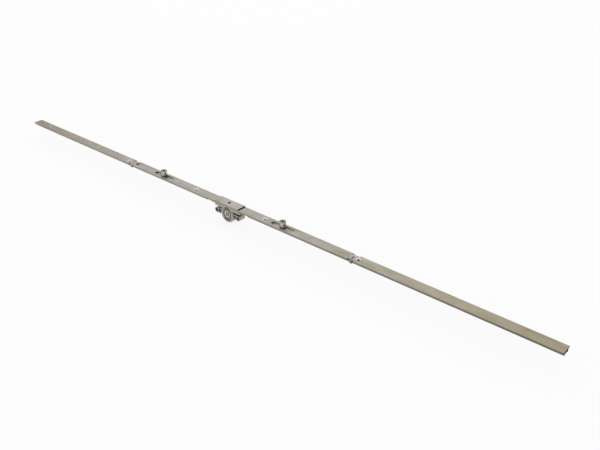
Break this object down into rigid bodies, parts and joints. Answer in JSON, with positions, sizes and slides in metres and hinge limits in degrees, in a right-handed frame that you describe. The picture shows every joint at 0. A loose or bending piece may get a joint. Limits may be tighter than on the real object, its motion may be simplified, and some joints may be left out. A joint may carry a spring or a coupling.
{
  "type": "window espagnolette",
  "caption": "Long flat window espagnolette: a faceplate with a sliding drive rod beneath, roller cams, and a small pinion-and-rack gearbox with a square spindle socket.",
  "frame": {"origin": "on the spindle axis, in the middle of the gearbox's thickness", "axes": "+X along the faceplate, +Y along the spindle towards the back, +Z out through the faceplate towards the cams"},
  "size_m": [1, 0.016, 0.0363],
  "materials": {
    "plated_steel": "satin zinc plating",
    "rod_steel": "satin zinc plating",
    "zinc_casting": "bare zinc die casting",
    "gear_steel": "plain sintered steel",
    "roller_steel": "turned and plated",
    "clip_steel": "satin zinc plating",
    "rivet_steel": "satin zinc plating"
  },
  "bodies": {
    "lock": {"faceplate": "plated_steel", "cover_plate": "plated_steel", "gear_case_front": "zinc_casting", "gear_case_back": "zinc_casting", "case_rivets": "rivet_steel", "guide_clip_left": "clip_steel", "guide_clip_right": "clip_steel", "guide_rivet_left": "rivet_steel", "guide_rivet_right": "rivet_steel"},
    "rod": {"rack_bar": "gear_steel", "drive_rod_left": "rod_steel", "drive_rod_right": "rod_steel", "rod_link_left": "gear_steel", "rod_link_right": "gear_steel", "cam_pin_left": "roller_steel", "cam_pin_right": "roller_steel", "cam_collar_left": "roller_steel", "cam_collar_right": "roller_steel"},
    "hub": {"spindle_hub": "gear_steel"},
    "roller_left": {"cam_roller_left": "roller_steel"},
    "roller_right": {"cam_roller_right": "roller_steel"}
  },
  "joints": [
    {"name": "rod_slide", "type": "slide", "parent": "lock", "child": "rod", "axis": [1, 0, 0], "range_m": [-0.0157, 0.0157]},
    {"name": "spindle_turn", "type": "hinge", "parent": "lock", "child": "hub", "pos_m": [0, 0, 0], "axis": [0, 1, 0], "range_deg": [-90, 90]},
    {"name": "roller_left_turn", "type": "hinge", "parent": "rod", "child": "roller_left", "pos_m": [-0.144, 0, 0.015], "axis": [0, 0, 1], "continuous": true},
    {"name": "roller_right_turn", "type": "hinge", "parent": "rod", "child": "roller_right", "pos_m": [0.103, 0, 0.015], "axis": [0, 0, 1], "continuous": true}
  ],
  "couplings": [
    {"joint": "spindle_turn", "follows": "rod_slide", "rad_per_m": 100}
  ]
}
